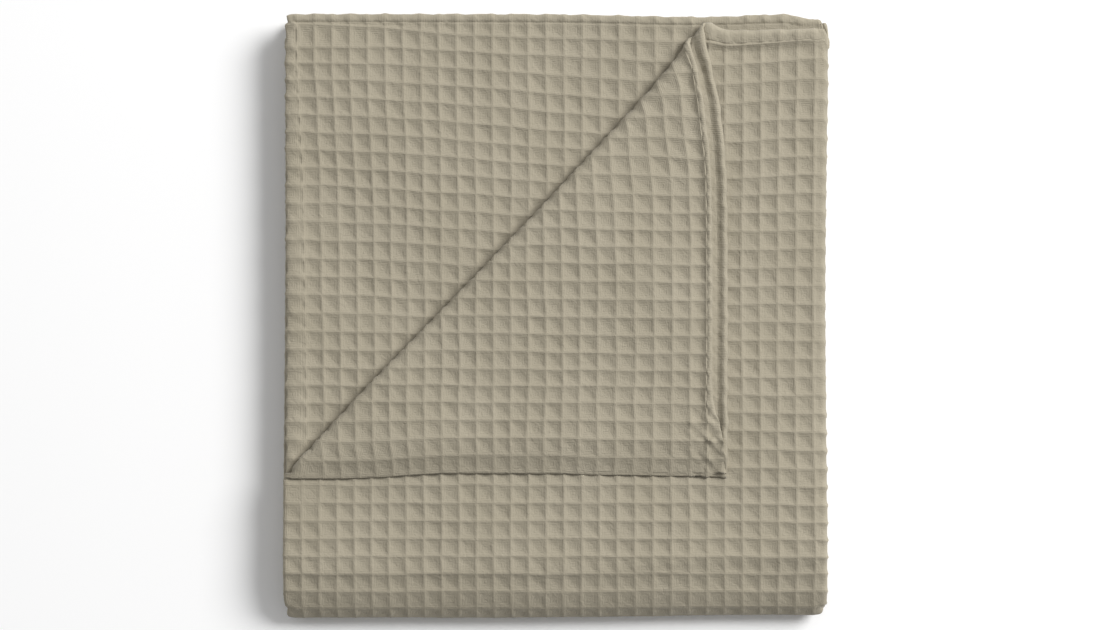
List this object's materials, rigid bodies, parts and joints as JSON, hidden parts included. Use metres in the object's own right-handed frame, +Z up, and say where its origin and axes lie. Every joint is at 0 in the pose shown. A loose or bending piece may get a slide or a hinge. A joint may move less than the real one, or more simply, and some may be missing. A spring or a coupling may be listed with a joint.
{
  "type": "folded waffle-weave bedspread",
  "caption": "Cotton waffle bedspread folded to a flat, nearly square stack, its hems at the back and a corner of its top leaf turned over on a slant.",
  "frame": {"origin": "middle of the stack's underside, on the surface that it lies on", "axes": "+Z up through the stack, +Y towards the back, where the hems lie, and +X to the right"},
  "size_m": [0.606, 0.6622, 0.0596],
  "materials": {
    "waffle_cotton": "matt woven cotton in large square waffle cells"
  },
  "bodies": {
    "root": {"bedspread": "waffle_cotton"}
  },
  "joints": []
}
